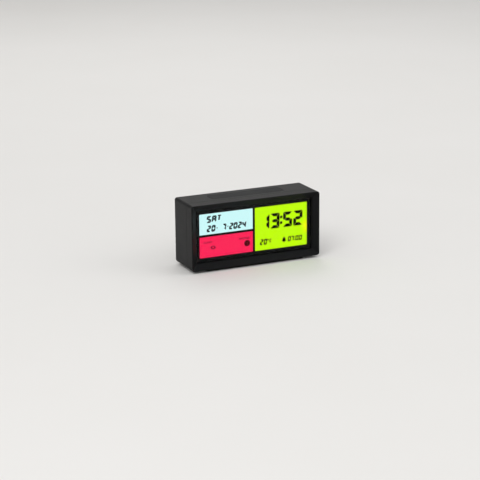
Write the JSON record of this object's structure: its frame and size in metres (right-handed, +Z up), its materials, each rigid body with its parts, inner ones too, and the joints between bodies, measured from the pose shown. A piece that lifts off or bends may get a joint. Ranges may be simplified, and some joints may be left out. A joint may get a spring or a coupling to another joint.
{
  "type": "lcd alarm clock",
  "caption": "Desk alarm clock with a wide colour-lit LCD behind a sloped black frame, a snooze bar on top, and keys, switch and battery bay in the back.",
  "frame": {"origin": "on the surface that the clock stands on, under the middle of its case", "axes": "+X to the right seen from the front, +Y from the display to the back, +Z up"},
  "size_m": [0.17, 0.0536, 0.0838],
  "materials": {
    "case_black": "fine moulded texture",
    "key_black": "fine moulded texture",
    "clear_window": "clear polished acrylic",
    "print_black": "screen print behind the window",
    "polarizer": "clear film",
    "lcd_glass": "clear glass",
    "film_white": "lit colour film",
    "film_pink": "lit colour film",
    "film_green": "lit colour film",
    "white_plastic": "moulded",
    "light_guide": "clear moulded acrylic",
    "elastomer": "layered elastomer",
    "circuit_board": "solder mask",
    "epoxy_black": "moulded epoxy",
    "steel": "zinc plated",
    "brass": "rolled sheet",
    "cell_wrap": "printed sleeve",
    "rubber": "moulded",
    "wire_red": "extruded",
    "wire_black": "extruded",
    "ribbon_grey": "extruded"
  },
  "bodies": {
    "clock_body": {"alarm_switch_body": "epoxy_black", "battery_1": "cell_wrap", "battery_2": "cell_wrap", "battery_3": "cell_wrap", "battery_wire_black": "wire_black", "battery_wire_red": "wire_red", "board_screw_1": "steel", "board_screw_2": "steel", "board_screw_3": "steel", "board_screw_4": "steel", "buzzer_cable": "wire_black", "case_screw_1": "steel", "case_screw_2": "steel", "case_screw_3": "steel", "case_screw_4": "steel", "colour_film_green": "film_green", "colour_film_pink": "film_pink", "colour_film_white": "film_white", "contact_bridge_left": "steel", "contact_bridge_right": "steel", "contact_negative": "steel", "contact_positive": "steel", "controller_blob": "epoxy_black", "crystal_can": "steel", "dc_socket": "epoxy_black", "diffuser_sheet": "white_plastic", "display_window": "clear_window", "filter_capacitor": "epoxy_black", "front_bezel": "case_black", "key_board": "circuit_board", "key_ribbon": "ribbon_grey", "lcd_glass_front": "lcd_glass", "lcd_glass_rear": "lcd_glass", "lcd_holder": "white_plastic", "led_bar": "white_plastic", "light_guide": "light_guide", "main_board": "circuit_board", "piezo_disc": "brass", "polarizer_front": "polarizer", "polarizer_rear": "polarizer", "power_board": "circuit_board", "power_cable": "wire_black", "rear_housing": "case_black", "reflector_sheet": "white_plastic", "rubber_foot_front": "rubber", "rubber_foot_rear": "rubber", "snooze_board": "circuit_board", "snooze_cable": "wire_black", "snooze_spring_left": "steel", "snooze_spring_right": "steel", "thermistor": "epoxy_black", "window_print": "print_black", "zebra_strip": "elastomer"},
    "snooze_bar": {"snooze_bar": "key_black"},
    "mode_key": {"button_mode": "key_black"},
    "set_key": {"button_set": "key_black"},
    "up_key": {"button_up": "key_black"},
    "down_key": {"button_down": "key_black"},
    "alarm_switch": {"alarm_switch_knob": "key_black"},
    "battery_lid": {"battery_door": "case_black"}
  },
  "joints": [
    {"name": "snooze_press", "type": "slide", "parent": "clock_body", "child": "snooze_bar", "axis": [0, 0, -1], "range_m": [0, 0.0012], "stiffness_N_per_m": 700, "springref_m": -0.0004, "deforming": ["snooze_spring_left", "snooze_spring_right"]},
    {"name": "mode_press", "type": "slide", "parent": "clock_body", "child": "mode_key", "axis": [0, -1, 0], "range_m": [0, 0.0007], "stiffness_N_per_m": 1200, "springref_m": -0.0004},
    {"name": "set_press", "type": "slide", "parent": "clock_body", "child": "set_key", "axis": [0, -1, 0], "range_m": [0, 0.0007], "stiffness_N_per_m": 1200, "springref_m": -0.0004},
    {"name": "up_press", "type": "slide", "parent": "clock_body", "child": "up_key", "axis": [0, -1, 0], "range_m": [0, 0.0007], "stiffness_N_per_m": 1200, "springref_m": -0.0004},
    {"name": "down_press", "type": "slide", "parent": "clock_body", "child": "down_key", "axis": [0, -1, 0], "range_m": [0, 0.0007], "stiffness_N_per_m": 1200, "springref_m": -0.0004},
    {"name": "alarm_slide", "type": "slide", "parent": "clock_body", "child": "alarm_switch", "axis": [1, 0, 0], "range_m": [0, 0.0035]},
    {"name": "battery_door_lift", "type": "slide", "parent": "clock_body", "child": "battery_lid", "axis": [0, 1, 0], "range_m": [0, 0.03]}
  ]
}
